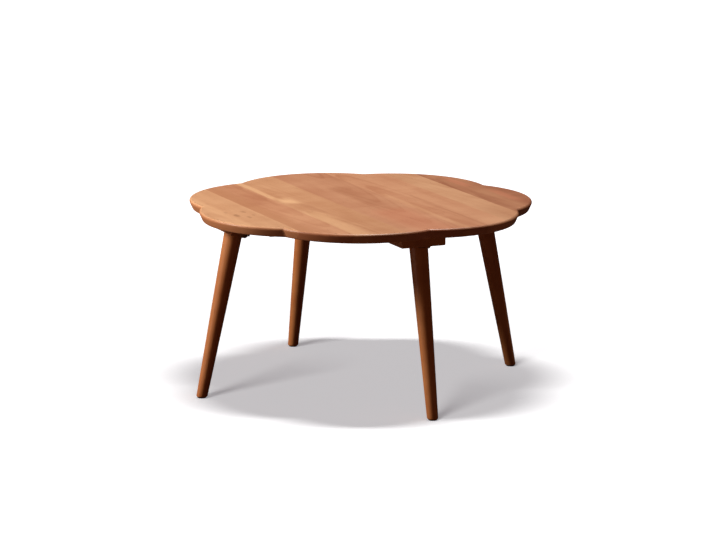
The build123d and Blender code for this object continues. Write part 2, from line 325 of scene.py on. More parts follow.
# %% [markdown]
# ## Oiled cherry
# One function gives every wooden piece its material. It says where the heart of the log was for
# that piece, and which two tones the wood drifts between. Rings, fibre, drifts and ripple each
# move a point some way from the pale tone to the deep one. So do soft blotches a few fingers
# wide, where the wood took more oil or less. They don't follow the log but the finished piece,
# so on the glued top they run on across the seams.
#
# Oil leaves a soft sheen that is a bit glossier on the dense late wood, so the roughness follows
# the rings. The bump is less than a tenth of a millimetre: enough for the light to catch the
# fibre, not enough to look sawn. Wherever a face isn't level, the material can paint the wood
# darker and redder by a given share. That is partly the oil that a rim cut across the fibres
# drinks, and partly painted shade on the rim.


# %% A helper that starts a material
def started(name):
    """A new material, its graph, its shader, and the place that its patterns are read at."""
    material = bpy.data.materials.new(name)
    material.use_nodes = True
    graph = Graph(material.node_tree)
    shader = material.node_tree.nodes["Principled BSDF"]
    return material, graph, shader, graph.node("ShaderNodeTexCoord").outputs["Object"]


# %% How far each effect moves the wood from its pale tone to its deep one
BY_DRIFT = 2.2
BY_RING = 0.40
BY_FIBRE = 0.35
BY_RIPPLE = 0.45
BY_BLOTCH = 1.1
BLOTCHES_PER_METRE = 11.0
FLECK_BROWN = linear(96, 52, 30)
# Painted shade, partly soaked oil: the darker, redder tint for faces that aren't level
SOAK_AND_SHADE_TINT = (0.82, 0.58, 0.46, 1.0)
STEEP_TO_LEVEL = (0.35, 0.93)
OILED_ROUGHNESS = 0.47
RING_GLOSS = 0.07
FIBRE_ROUGHNESS = 0.12
FIBRE_DEPTH = 0.00008
print("blotches are about", round(100 / BLOTCHES_PER_METRE), "cm apart")


# %% The wood material
def wood(
    name, heart, turn, pale, deep, seed, ring_width=0.004, contrast=1.0, marks=(), rim_soak_and_shade=0.0
):
    """Oiled cherry whose log had its heart at a place, its trunk turned from the Y axis."""
    material, graph, shader, place = started(name)
    trunk = {"Vector": place, "Location": heart, "Rotation": turn}
    mapping = graph.node("ShaderNodeMapping", trunk, vector_type="TEXTURE")
    values = {"Position": mapping.outputs[0], "Ring Width": ring_width, "Seed": seed}
    grain = graph.use(log_group, values)
    drift = grain["Drift"]
    ring = grain["Ring"]
    fibre = grain["Fibre"]
    fleck = grain["Fleck"]
    blotch = graph.noise(place, BLOTCHES_PER_METRE, 3.0)
    share = 0.5 + (drift - 0.5) * BY_DRIFT * contrast + (ring - 0.3) * BY_RING * contrast
    share = share + (fibre - 0.5) * BY_FIBRE + (grain["Ripple"] - 0.5) * BY_RIPPLE * contrast
    share = share + (blotch - 0.5) * BY_BLOTCH
    colour = graph.mix(share, pale, deep)
    for kind, values, tint, strength in marks:
        mask = graph.use(kind, {"Position": place, **values})["Mask"]
        colour = graph.mix(mask * strength, colour, tint)
    colour = graph.mix(fleck * 0.35, colour, FLECK_BROWN)
    # Painted shade, partly soaked oil: faces that aren't level are tinted darker and redder
    if rim_soak_and_shade:
        normal = graph.node("ShaderNodeTexCoord").outputs["Normal"]
        level = graph.math("ABSOLUTE", graph.axes(normal)[2])
        steep = 1.0 - graph.between(level, *STEEP_TO_LEVEL)
        colour = graph.mix(steep * rim_soak_and_shade, colour, SOAK_AND_SHADE_TINT, "MULTIPLY")
    height = fibre * 0.5 + ring * 0.3 - fleck * 0.6
    looks = {
        "Base Color": colour,
        "Roughness": OILED_ROUGHNESS - ring * RING_GLOSS + (fibre - 0.5) * FIBRE_ROUGHNESS,
        "Normal": graph.bump(height, 0.25, FIBRE_DEPTH),
        "Coat Weight": 0.12,
        "Coat Roughness": 0.28,
    }
    graph.fill(shader, looks)
    return material


# %% [markdown]
# ## The lobed top
# The rim is made of seven equal arcs. Each arc belongs to a circle whose centre lies partly out
# from the middle of the table, and where two arcs meet, a small circle outside the rim rounds
# the notch. Because the whole outline is circles, moving it inwards is easy: the lobe circles
# shrink and the notch circles grow. That is how the edge is made, ring by ring, without a bevel
# that would pinch in the notches. The edge itself has three parts: a large round at the top, a
# wall that slants in under it, which makes a thick top look light, and a round at the underside.


# %% Sizes of the top
top_low, top_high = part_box("top_board_4")
TOP_SIZES = {
    "Tip Radius": 0.400,
    "Valley Radius": 0.369,
    "Lobes": 7,
    "Notch Round": 0.008,
    "Edge Round": 0.005,
    "Rim Inset": 0.007,
    "Slant Height": 0.016,
    "Under Round": 0.004,
    "Thickness": top_high.z - top_low.z,
}
BOARDS = [f"top_board_{number}" for number in range(1, 8)]
print("the top is", round(TOP_SIZES["Thickness"] * 1000, 2), "mm thick, in", len(BOARDS), "boards")

# %% [markdown]
# The tree starts from a plain grid. One way across the grid is the way round the rim, the other
# way is from the middle of the underside, over the edge, to the middle of the upper face. Every
# point is then put in place by formula, step by step in the cells below. Last, the strip that
# one board takes is cut out of the slab.

# %% Geometry nodes: one board of a lobed top
top, given, made = group(
    "GeometryNodeTree",
    "Lobed top board",
    {
        "Geometry": "Geometry",
        **TOP_SIZES,
        "Middle Height": 0.4,
        "Left Seam": -1.0,
        "Right Seam": 1.0,
        "Points Per Lobe": 96,
        "Material": "Material",
    },
    {"Geometry": "Geometry"},
)
ROUND_STEPS = 8
ROWS = 2 * ROUND_STEPS + 6
columns = given["Lobes"] * given["Points Per Lobe"] + 1
grid = top.node(
    "GeometryNodeMeshGrid", {"Size X": 1, "Size Y": 1, "Vertices X": columns, "Vertices Y": ROWS}
)
round_rim, over_edge, _ = top.axes(top.node("GeometryNodeInputPosition").outputs[0])
print("the slab's grid has", ROWS, "rows over the edge")

# %% [markdown]
# Half of the rows make the upper round, half the one underneath. The slanted wall is the gap
# between the two, and it touches both. A last ring lies flat on each face, a little way in, so
# that the round runs out into a level face, and the row after it is drawn together at the middle.

# %% The way over the edge
FLAT_RING = 0.002
level = over_edge * (ROWS - 1)
upper = top.math("GREATER_THAN", level, 0.0)
row = top.math("ROUND", top.math("ABSOLUTE", level) - 0.5)
part = top.math("MINIMUM", row, ROUND_STEPS) * (1 / ROUND_STEPS)
slant = top.math("ARCTAN2", given["Rim Inset"], given["Slant Height"])
edge = given["Edge Round"]
over = part * (slant + pi / 2) - slant
upper_inset = edge * (1.0 - top.math("COSINE", over))
upper_level = given["Thickness"] - edge + edge * top.math("SINE", over)
under = given["Under Round"]
below = slant + part * (pi / 2 - slant)
corner = under / top.math("TANGENT", (slant + pi / 2) * 0.5)
under_inset = given["Rim Inset"] + corner - under * top.math("COSINE", below)
under_level = under - under * top.math("SINE", below)
flat_ring = top.math("MINIMUM", top.math("MAXIMUM", row - ROUND_STEPS, 0.0), 1.0)
inset = upper_inset * upper + under_inset * (1.0 - upper) + flat_ring * FLAT_RING
rise = upper_level * upper + under_level * (1.0 - upper)
to_centre = 1.0 - top.math("MAXIMUM", row - (ROUND_STEPS + 1), 0.0)
print("each round has", ROUND_STEPS, "steps")

# %% [markdown]
# The way round the rim says which lobe a point is on and how far round it is from the lobe's
# middle. The points are gathered towards the notches, where the outline turns fastest.

# %% The way round the rim
GATHER = 0.85
lobes = given["Lobes"]
round_way = (round_rim + 0.5) * lobes
lobe = top.math("FLOOR", round_way + 1e-5)
local = (round_way - lobe) * 2.0 - 1.0
half_lobe = pi / lobes
gathered = local * (1.0 - GATHER) + top.math("SINE", local * (pi / 2)) * GATHER
aside = half_lobe * gathered
heading = (lobe + 0.5) * 2.0 * half_lobe + aside - pi / 2
print("points gathered towards the notches by", GATHER)

# %% [markdown]
# At each heading the outline is either the lobe's circle or the circle that rounds the notch
# outside the valley. The two touch in one point, and the angle of that point says which of them
# a grid point takes. The inset of its row shrinks the one and grows the other.

# %% The outline at each heading
tip = given["Tip Radius"]
valley = given["Valley Radius"]
notch = given["Notch Round"]
cos_half = top.math("COSINE", half_lobe)
sin_half = top.math("SINE", half_lobe)
reach = (tip * tip - valley * valley) / ((tip - valley * cos_half) * 2.0)
lobe_round = tip - reach
cross = reach * sin_half
notch_reach = reach * cos_half + top.math("SQRT", (lobe_round + notch) ** 2.0 - cross * cross)
inner = lobe_round - inset
side_way = reach * top.math("SINE", aside)
on_lobe = reach * top.math("COSINE", aside) + top.math("SQRT", inner * inner - side_way * side_way)
past = half_lobe - top.math("ABSOLUTE", aside)
share = inner / (lobe_round + notch)
touch = top.math(
    "ARCTAN2", cross * (1.0 - share), reach * cos_half + (notch_reach - reach * cos_half) * share
)
drop = notch_reach * top.math("SINE", past)
grown = notch + inset
root = top.math("MAXIMUM", grown * grown - drop * drop, 0.0)
in_notch = notch_reach * top.math("COSINE", past) - top.math("SQRT", root)
chosen = top.math("LESS_THAN", past, touch)
radius = (in_notch * chosen + on_lobe * (1.0 - chosen)) * to_centre
height = given["Middle Height"] - given["Thickness"] * 0.5 + rise
point = top.vector(radius * top.math("COSINE", heading), radius * top.math("SINE", heading), height)
shaped = top.node("GeometryNodeSetPosition", {"Geometry": grid.outputs["Mesh"], "Position": point})
closed = top.node("GeometryNodeMergeByDistance", {"Geometry": shaped.outputs[0], "Distance": 1e-6})
print("so far the tree has", len(top.tree.nodes), "nodes")

# %% [markdown]
# One board is the slab between its two seams: the part of the slab that lies inside a block. The
# end of the tree is the same for all three trees below, so a helper makes it. It shades the
# faces smooth but keeps real edges sharp, makes instances real, and gives the material.


# %% A helper that ends a tree
def ended(graph, given, made, mesh, crease=None):
    """Smooth faces, edges sharp from an angle in degrees, real instances and a material."""
    smooth = graph.node("GeometryNodeSetShadeSmooth", {0: mesh}, domain="FACE")
    if crease is not None:
        angle = graph.node("GeometryNodeInputMeshEdgeAngle").outputs["Unsigned Angle"]
        values = {0: angle, 1: radians(crease)}
        sharp = graph.node("FunctionNodeCompare", values, operation="GREATER_THAN").outputs[0]
        values = {0: smooth.outputs[0], 1: sharp, 2: False}
        smooth = graph.node("GeometryNodeSetShadeSmooth", values, domain="EDGE")
    real = graph.node("GeometryNodeRealizeInstances", {0: smooth.outputs[0]})
    values = {0: real.outputs[0], "Material": given["Material"]}
    graph.fill(made, {0: graph.node("GeometryNodeSetMaterial", values).outputs[0]})
    print("the tree", graph.tree.name, "has", len(graph.tree.nodes), "nodes")
    return graph.tree


# %% Cut one board out of the slab
BLOCK_LENGTH = 1.0
BLOCK_HEIGHT = 0.2
left = given["Left Seam"]
right = given["Right Seam"]
block_size = top.vector(right - left, BLOCK_LENGTH, BLOCK_HEIGHT)
block = top.node("GeometryNodeMeshCube", {"Size": block_size}).outputs[0]
middle = top.vector((left + right) * 0.5, 0.0, given["Middle Height"])
cut = top.node("GeometryNodeMeshBoolean", operation="INTERSECT", solver="EXACT")
top.feed(cut.inputs[1], top.moved(block, Translation=middle))
top.feed(cut.inputs[1], closed.outputs[0])
top_tree = ended(top, given, made, cut.outputs[0], crease=35)


# %% Helpers that turn a geometry nodes tree into a finished mesh
def placed(name, data):
    """Put a new object in the scene, at the origin."""
    piece = bpy.data.objects.new(name, data)
    bpy.context.scene.collection.objects.link(piece)
    return piece


def settle(piece):
    """Keep what a piece's modifiers make of it as its plain mesh."""
    evaluated = piece.evaluated_get(bpy.context.evaluated_depsgraph_get())
    mesh = bpy.data.meshes.new_from_object(evaluated)
    piece.modifiers.clear()
    piece.data = mesh


def grown_mesh(name, tree, start=None, **values):
    """Evaluate a tree with its inputs set, and keep the result as a plain mesh object."""
    piece = placed(name, start or bpy.data.meshes.new(name))
    modifier = piece.modifiers.new("grow", "NODES")
    modifier.node_group = tree
    sockets = {s.name: s.identifier for s in tree.interface.items_tree if s.in_out == "INPUT"}
    for label, value in values.items():
        modifier[sockets[label.replace("_", " ")]] = value
    settle(piece)
    piece.data.name = name
    return piece


# %% [markdown]
# ## Seven boards, seven tones
# The top is glued up from boards out of different logs, so each has a tone of its own. The lists
# below say what a cabinetmaker would say of them from left to right: a light board with a few
# pin knots, a pinker one, one with a pale sapwood edge, and so on to a dark red one at the right.
# A board's first tone is its paler one. A mark has its place, its size, a tint and a strength.

# %% The boards' tones and marks
BOARD_TONES = [
    (linear(205, 157, 118), linear(183, 130, 93)),
    (linear(199, 146, 110), linear(178, 120, 88)),
    (linear(202, 153, 115), linear(181, 127, 91)),
    (linear(196, 144, 110), linear(174, 117, 86)),
    (linear(204, 152, 116), linear(183, 126, 93)),
    (linear(203, 155, 118), linear(183, 130, 95)),
    (linear(180, 127, 94), linear(152, 95, 68)),
]
SAPWOOD = linear(226, 180, 136)
VEIN_AND_SHADE_BROWN = linear(156, 98, 68)
KNOT_BROWN = linear(126, 80, 50)
ROSE = linear(200, 128, 98)


def band(middle, width, start, end, tint, strength):
    """A streak of another tone along one board."""
    values = {"Middle": middle, "Width": width, "Start": start, "End": end}
    return (streak_group, values, tint, strength)


def pin_knot(x, y, size, strength):
    """A small dark knot at a spot of the upper face."""
    values = {"Centre": (x, y, top_high.z), "Size": size}
    return (knot_group, values, KNOT_BROWN, strength)


BOARD_MARKS = [
    [
        pin_knot(-0.327, -0.052, 0.010, 0.45),
        pin_knot(-0.297, -0.016, 0.008, 0.40),
        pin_knot(-0.308, -0.080, 0.006, 0.45),
        pin_knot(-0.338, -0.012, 0.005, 0.40),
        pin_knot(-0.290, -0.062, 0.005, 0.35),
        band(-0.350, 0.030, -0.2, 0.25, SAPWOOD, 0.25),
        band(-0.285, 0.030, -0.4, 0.4, VEIN_AND_SHADE_BROWN, 0.12),
    ],
    [
        band(-0.262, 0.060, -0.40, 0.40, BOARD_TONES[0][1], 0.60),
        band(-0.192, 0.016, 0.02, 0.36, VEIN_AND_SHADE_BROWN, 0.30),
        # Painted shade: a broad dark band over the far half of this board, where the key lamp falls
        # strongest
        band(-0.240, 0.090, 0.04, 0.40, VEIN_AND_SHADE_BROWN, 0.24),
    ],
    [
        band(-0.170, 0.022, 0.10, 0.40, SAPWOOD, 0.60),
        band(-0.152, 0.046, 0.035, 0.100, SAPWOOD, 0.85),
        band(-0.160, 0.050, -0.40, -0.08, SAPWOOD, 0.42),
        band(-0.135, 0.030, -0.10, 0.02, VEIN_AND_SHADE_BROWN, 0.25),
    ],
    [
        band(0.018, 0.045, -0.05, 0.20, VEIN_AND_SHADE_BROWN, 0.30),
        band(0.015, 0.120, -0.40, -0.12, ROSE, 0.35),
    ],
    [
        band(0.088, 0.016, -0.40, 0.05, SAPWOOD, 0.22),
        band(0.138, 0.010, -0.40, 0.02, VEIN_AND_SHADE_BROWN, 0.30),
    ],
    [band(0.235, 0.060, -0.40, -0.16, VEIN_AND_SHADE_BROWN, 0.22)],
    [
        band(0.315, 0.030, 0.08, 0.20, ROSE, 0.45),
        band(0.345, 0.030, -0.12, 0.02, ROSE, 0.40),
    ],
]
print("marks on each board:", [len(marks) for marks in BOARD_MARKS])

# %% [markdown]
# Each board also comes out of its log at another depth, a little aside of the heart and with
# the trunk a degree or so off the board's length. Neighbours never get the same mix of these.

# %% Make the boards
HEARTS_ASIDE = (-0.04, 0.03)
TRUNKS_LEAN = (-1.2, 1.6)
HEART_DEPTHS = (0.07, 0.09, 0.11)
TRUNKS_TURN = (-0.8, 0.0, 0.8)
RING_WIDTHS = (0.0042, 0.0046, 0.0050)
SEED_STEP = 1.7
# How much painted shade and soaked-oil tint the rim of the top takes
RIM_SOAK_AND_SHADE = 0.85
seams = [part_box(name)[0].x for name in BOARDS[1:]]
edges = [-1.0, *seams, 1.0]
for number, name in enumerate(BOARDS):
    low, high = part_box(name)
    of_two = number % 2
    of_three = number % 3
    across = (low.x + high.x) / 2 + HEARTS_ASIDE[of_two]
    finish = wood(
        f"cherry board {number + 1}",
        (across, 0.0, low.z - HEART_DEPTHS[of_three]),
        (radians(TRUNKS_LEAN[of_two]), 0.0, radians(TRUNKS_TURN[of_three])),
        *BOARD_TONES[number],
        ring_width=RING_WIDTHS[of_three],
        seed=number * SEED_STEP,
        marks=BOARD_MARKS[number],
        rim_soak_and_shade=RIM_SOAK_AND_SHADE,
    )
    board = grown_mesh(
        name + "_wood",
        top_tree,
        Left_Seam=edges[number],
        Right_Seam=edges[number + 1],
        Middle_Height=(top_low.z + top_high.z) / 2,
        Material=finish,
    )
    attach(board, "tabletop")
    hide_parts(name)
    print(name, len(board.data.polygons), "faces")

# %% [markdown]
# ## Turned legs
# A leg is turned on a lathe as a straight taper and then sawn level at both ends, because it
# stands leaning. So it is built the same way round: rings along a leaning axis, longer than the
# leg, then two level cuts. The foot's sharp edge is eased with a small bevel.

# %% Sizes of the legs
FOOT_CIRCLE = 0.394
LEG_CIRCLE = 0.314
FOOT_RADIUS = 0.0125
HEAD_RADIUS = 0.021
FOOT_ROUND = 0.003
LEG_SIDES = 96
LEG_RINGS = 24
SAME_LEVEL = 1e-6
leg_low, leg_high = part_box("front_leg")
lean = atan((FOOT_CIRCLE - LEG_CIRCLE) / leg_high.z)
print("the legs lean", round(degrees(lean), 2), "degrees")


# %% Make a leg
def smooth_piece(name, work, finish):
    """Turn worked faces into a smoothly shaded object with one finish."""
    mesh = bpy.data.meshes.new(name)
    work.to_mesh(mesh)
    work.free()
    mesh.shade_smooth()
    mesh.materials.append(finish)
    return placed(name, mesh)


def turned_leg(name, spin, finish):
    """A taper along a leaning axis, cut level at head and foot."""
    length = hypot(FOOT_CIRCLE - LEG_CIRCLE, leg_high.z)
    waste = HEAD_RADIUS
    slope = (HEAD_RADIUS - FOOT_RADIUS) / length
    work = bmesh.new()
    previous = None
    axis = Vector((0, sin(lean), cos(lean)))
    cross = axis.cross(Vector((1, 0, 0)))
    for ring in range(LEG_RINGS + 1):
        along = -waste + (length + 2 * waste) * ring / LEG_RINGS
        wide = FOOT_RADIUS + slope * along
        middle = Vector((0, -FOOT_CIRCLE, 0)) + axis * along
        loop = []
        for step in range(LEG_SIDES):
            way = 2 * pi * step / LEG_SIDES
            point = middle + (Vector((cos(way), 0, 0)) + cross * sin(way)) * wide
            loop.append(work.verts.new(spin @ point))
        if previous:
            for step in range(LEG_SIDES):
                after = (step + 1) % LEG_SIDES
                work.faces.new((previous[step], previous[after], loop[after], loop[step]))
        previous = loop
    for level, way in ((leg_low.z, -1), (leg_high.z, 1)):
        everything = [*work.verts, *work.edges, *work.faces]
        plane = {"plane_co": (0, 0, level), "plane_no": (0, 0, way)}
        bmesh.ops.bisect_plane(work, geom=everything, clear_outer=True, **plane)
        rim = [e for e in work.edges if e.is_boundary and abs(e.verts[0].co.z - level) < SAME_LEVEL]
        bmesh.ops.holes_fill(work, edges=rim, sides=0)
    bmesh.ops.recalc_face_normals(work, faces=work.faces)
    foot = [e for e in work.edges if all(abs(v.co.z - leg_low.z) < SAME_LEVEL for v in e.verts)]
    bmesh.ops.bevel(work, geom=foot, offset=FOOT_ROUND, segments=5, affect="EDGES", profile=0.5)
    leg = smooth_piece(name, work, finish)
    leg.data.set_sharp_from_angle(angle=radians(35))
    return leg


# %% The four legs
LEG_TONES = (linear(199, 129, 76), linear(164, 87, 44))
HEART_OF_FRONT_LEG = Vector((0.05, -FOOT_CIRCLE - 0.03, 0))
for number, (side, turn) in enumerate(SIDES.items()):
    spin = Matrix.Rotation(radians(turn), 3, "Z")
    trunk = spin @ Matrix.Rotation(pi / 2 - lean, 3, "X")
    finish = wood(
        f"cherry leg {side}",
        spin @ HEART_OF_FRONT_LEG,
        trunk.to_euler(),
        *LEG_TONES,
        ring_width=0.0034,
        seed=11 + number * 2.3,
        contrast=0.8,
    )
    leg = turned_leg(f"{side}_leg_wood", spin, finish)
    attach(leg, f"{side}_leg_unit")
    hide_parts(f"{side}_leg")
    print(leg.name, len(leg.data.polygons), "faces")

# %% [markdown]
# ## Eased edges on sawn and stamped pieces
# The blocks, strips and steel leaves already have the right shape in the frame. What they lack
# is the tiny softening of every real edge, which is what catches the light. So each is copied,
# its loose triangles are joined into one skin, flat areas are tidied, and the edges are eased.
#
# A smooth shaded mesh blends the directions of neighbouring faces, which would leave a dark
# cloud on a flat face beside an edge that wasn't eased. Weighted normals let the large faces
# decide, so they stay flat and only the eased strips turn. The cleats have slanted corners that
# are nearly flat, so for them even a slight edge is eased.


# %% A helper that copies a node and eases its edges
def eased(node, width, finish, body, least=40):
    """Copy a node's mesh, soften its edges, and let the copy stand for the node."""
    mesh = nodes[node].data.copy()
    work = bmesh.new()
    work.from_mesh(mesh)
    bmesh.ops.remove_doubles(work, verts=work.verts, dist=1e-6)
    bmesh.ops.dissolve_limit(work, angle_limit=radians(0.5), verts=work.verts, edges=work.edges)
    work.to_mesh(mesh)
    work.free()
    mesh.name = node + "_eased"
    mesh.materials.clear()
    mesh.materials.append(finish)
    for polygon in mesh.polygons:
        polygon.material_index = 0
    piece = placed(node + "_eased", mesh)
    bevel = piece.modifiers.new("ease", "BEVEL")
    bevel.width = width
    bevel.segments = 2
    bevel.limit_method = "ANGLE"
    bevel.angle_limit = radians(least)
    bevel.use_clamp_overlap = True
    settle(piece)
    piece.data.shade_smooth()
    piece.data.set_sharp_from_angle(angle=radians(32))
    flat = piece.modifiers.new("flat faces stay flat", "WEIGHTED_NORMAL")
    flat.keep_sharp = True
    settle(piece)
    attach(piece, body)
    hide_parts(node)
    print(piece.name, len(piece.data.polygons), "faces")


# %% Cleats and battens
CLEAT_TONES = (linear(196, 130, 82), linear(160, 92, 54))
WOOD_EASE = 0.0006
along_cleats = (radians(1.0), 0.0, 0.0)
along_battens = (0.0, 0.0, radians(-90))
cleat_wood = wood("cherry cleats", (0.1, 0.0, 0.30), along_cleats, *CLEAT_TONES, seed=21.0)
for side in SIDES:
    eased(f"{side}_cleat", WOOD_EASE, cleat_wood, "tabletop", least=15)
batten_wood = wood("cherry battens", (0.0, 0.05, 0.32), along_battens, *CLEAT_TONES, seed=27.0)
for name in ("near_batten", "far_batten"):
    eased(name, WOOD_EASE, batten_wood, "tabletop")


# %% [markdown]
# ## Steel
# The hinge leaves and screws are plated in a dark bronze tone, as furniture fittings that should
# not show against brown wood often are, and the catch springs are blued. Both have the same
# make-up: a metal shader whose roughness and tone vary with faint rolling marks and a cloudy
# bloom. One group makes those marks, and each steel takes them in its own measure.

# %% Shader group: rolled sheet
rolled, given, made = group(
    "ShaderNodeTree",
    "Rolled sheet",
    {"Position": "Vector", "Scratch Scale": 900.0},
    {"Scratch": "Float", "Bloom": "Float", "Speck": "Float"},
)
marks = {
    "Scratch": rolled.drawn_out(given["Position"], 0.05, given["Scratch Scale"], 2.0),
    "Bloom": rolled.noise(given["Position"], 70.0, 4.0, 0.6),
    "Speck": rolled.between(rolled.noise(given["Position"], 900.0, 1.0), 0.66, 0.74),
}
rolled.fill(made, marks)
rolled_group = rolled.tree
print("rolled sheet shows its", *marks)


# %% The two steels
ROLLING_DEPTH = 0.00004


def steel(name, clean, dull, smooth, rough):
    """Sheet metal between a clean and a dull tone, with its roughness in the same cloud."""
    material, graph, shader, place = started(name)
    marks = graph.use(rolled_group, {"Position": place})
    bloom = marks["Bloom"]
    scratch = marks["Scratch"]
    cloud = graph.between(bloom, 0.3, 0.7)
    looks = {
        "Base Color": graph.mix(cloud * 0.8 + marks["Speck"] * 0.2, clean, dull),
        "Roughness": smooth + cloud * (rough - smooth) + (scratch - 0.5) * 0.2,
        "Normal": graph.bump(scratch * 0.6 + bloom * 0.4, 0.3, ROLLING_DEPTH),
        "Metallic": 1.0,
    }
    graph.fill(shader, looks)
    return material


bronzed = steel("bronze plated steel", linear(128, 98, 70), linear(92, 68, 48), 0.28, 0.44)
blued = steel("blued spring steel", linear(74, 78, 92), linear(52, 50, 52), 0.22, 0.36)
for side in SIDES:
    eased(f"{side}_hinge_plate", 0.0003, bronzed, "tabletop")
    eased(f"{side}_hinge_pin", 0.0002, bronzed, "tabletop")
    eased(f"{side}_catch_spring", 0.0001, blued, "tabletop")
    eased(f"{side}_leg_plate", 0.0003, bronzed, f"{side}_leg_unit")

# %% [markdown]
# ## Screws and rivets
# There are dozens of screws, all alike but for their size, so one tree makes them all. It takes
# a mesh that is nothing but points, puts a countersunk screw on each, and turns each by a
# random angle, because no one lines up their slots. The cross recess is cut with a boolean: two
# bars are taken out of the head.

# %% Geometry nodes: countersunk screws on points
screw, given, made = group(
    "GeometryNodeTree",
    "Countersunk screws",
    {
        "Geometry": "Geometry",
        "Head Radius": 0.004,
        "Shank Radius": 0.002,
        "Length": 0.03,
        "Driven Down": False,
        "Seed": 1,
        "Material": "Material",
    },
    {"Geometry": "Geometry"},
)
ROUND_SIDES = 40
TIP_SHARE = 0.3
BAR_WIDTH = 0.34
BAR_LENGTH = 1.15
BAR_DEPTH = 1.2
head = given["Head Radius"]
shank = given["Shank Radius"]
head_depth = head - shank


def cone(wide_below, wide_above, depth):
    """A cone or rod that starts level and goes up."""
    values = {"Vertices": ROUND_SIDES, "Radius Bottom": wide_below, "Radius Top": wide_above}
    return screw.node("GeometryNodeMeshCone", {**values, "Depth": depth}).outputs[0]


tail = cone(shank, shank * TIP_SHARE, given["Length"] - head_depth)
tail = screw.moved(tail, Translation=screw.vector(0.0, 0.0, head_depth))
recess = screw.node("GeometryNodeMeshBoolean", operation="DIFFERENCE", solver="EXACT")
screw.feed(recess.inputs[0], cone(head, shank, head_depth))
for wide, long in ((BAR_WIDTH, BAR_LENGTH), (BAR_LENGTH, BAR_WIDTH)):
    size = screw.vector(head * wide, head * long, head_depth * BAR_DEPTH)
    bar = screw.node("GeometryNodeMeshCube", {"Size": size})
    screw.feed(recess.inputs[1], bar.outputs[0])
whole = screw.node("GeometryNodeJoinGeometry")
screw.feed(whole.inputs[0], recess.outputs[0])
screw.feed(whole.inputs[0], tail)
over = screw.vector(given["Driven Down"] * pi, 0.0, 0.0)
turned_over = screw.moved(whole.outputs[0], Rotation=over)
spin = screw.node(
    "FunctionNodeRandomValue",
    {"Min": (0.0, 0.0, 0.0), "Max": (0.0, 0.0, pi), "Seed": given["Seed"]},
    data_type="FLOAT_VECTOR",
)
laid = screw.node(
    "GeometryNodeInstanceOnPoints",
    {"Points": given["Geometry"], "Instance": turned_over, "Rotation": spin.outputs[0]},
)
screw_tree = ended(screw, given, made, laid.outputs[0], crease=30)

# %% [markdown]
# The node holds all screws of a kind as separate solids. Where edges join one corner to the
# next, they belong to the same solid, so a walk along the edges finds each screw whole, and its
# box says where the screw's head goes.


# %% Where the screws are: one spot for each solid of a node
def spots(node, upper=False):
    """The middle of each fastener of a node, seen from above, at its lower or upper end."""
    solids = bmesh.new()
    solids.from_mesh(nodes[node].data)
    bmesh.ops.remove_doubles(solids, verts=solids.verts, dist=0.00001)
    seen = set()
    places = []
    for start in solids.verts:
        if start in seen:
            continue
        seen.add(start)
        solid = [start]
        for vertex in solid:
            for other in (edge.other_vert(vertex) for edge in vertex.link_edges):
                if other not in seen:
                    seen.add(other)
                    solid.append(other)
        xs, ys, zs = zip(*(vertex.co for vertex in solid))
        level = max(zs) if upper else min(zs)
        places.append(((min(xs) + max(xs)) / 2, (min(ys) + max(ys)) / 2, level))
    solids.free()
    return places


def fasteners(name, tree, node, body, upper=False, **values):
    """Grow a node's fasteners on its spots, and let them stand for the node."""
    points = bpy.data.meshes.new(name)
    places = spots(node, upper)
    points.from_pydata(places, [], [])
    piece = grown_mesh(name, tree, start=points, **values)
    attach(piece, body)
    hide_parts(node)
    print(name, "on", len(places), "spots,", len(piece.data.polygons), "faces")


# %% Drive the screws
WOOD_SCREW = {"Head_Radius": 0.004, "Shank_Radius": 0.002, "Material": bronzed}
SMALL_SCREW = {"Head_Radius": 0.0035, "Shank_Radius": 0.00175, "Material": bronzed}
fasteners("cleat_screws_cross", screw_tree, "cleat_screws", "tabletop", Length=0.035, **WOOD_SCREW)
fasteners("batten_screws_cross", screw_tree, "batten_screws", "tabletop", Length=0.024, **WOOD_SCREW)
fasteners("hinge_screws_cross", screw_tree, "hinge_screws", "tabletop", Length=0.017, **SMALL_SCREW)
for side in SIDES:
    name = f"{side}_leg_screws"
    driven = {"Length": 0.028, "Driven_Down": True, **SMALL_SCREW}
    fasteners(name + "_cross", screw_tree, name, f"{side}_leg_unit", upper=True, **driven)

# %% [markdown]
# The rivets of the catch springs have low domed heads. A dome is a flattened ball, and the part
# of it that lies inside the spring is never seen.

# %% Geometry nodes: dome rivets on points
rivet, given, made = group(
    "GeometryNodeTree",
    "Dome rivets",
    {"Geometry": "Geometry", "Head Radius": 0.0024, "Head Height": 0.0009, "Material": "Material"},
    {"Geometry": "Geometry"},
)
ball = rivet.node("GeometryNodeMeshUVSphere", {"Segments": 32, "Rings": 16, "Radius": 1.0})
height = given["Head Height"]
size = rivet.vector(given["Head Radius"], given["Head Radius"], height)
dome = rivet.moved(ball.outputs[0], Scale=size, Translation=rivet.vector(0.0, 0.0, height))
laid = rivet.node("GeometryNodeInstanceOnPoints", {"Points": given["Geometry"], "Instance": dome})
rivet_tree = ended(rivet, given, made, laid.outputs[0])
fasteners("catch_rivets_dome", rivet_tree, "catch_rivets", "tabletop", Material=bronzed)


# %% [markdown]
# ## Felt under the feet
# A felt disc is a mat of fibres, so its rim is soft and its face is a little uneven. The disc is
# built in rings with a rounded rim, and each point is moved in by up to a seventh of a
# millimetre.

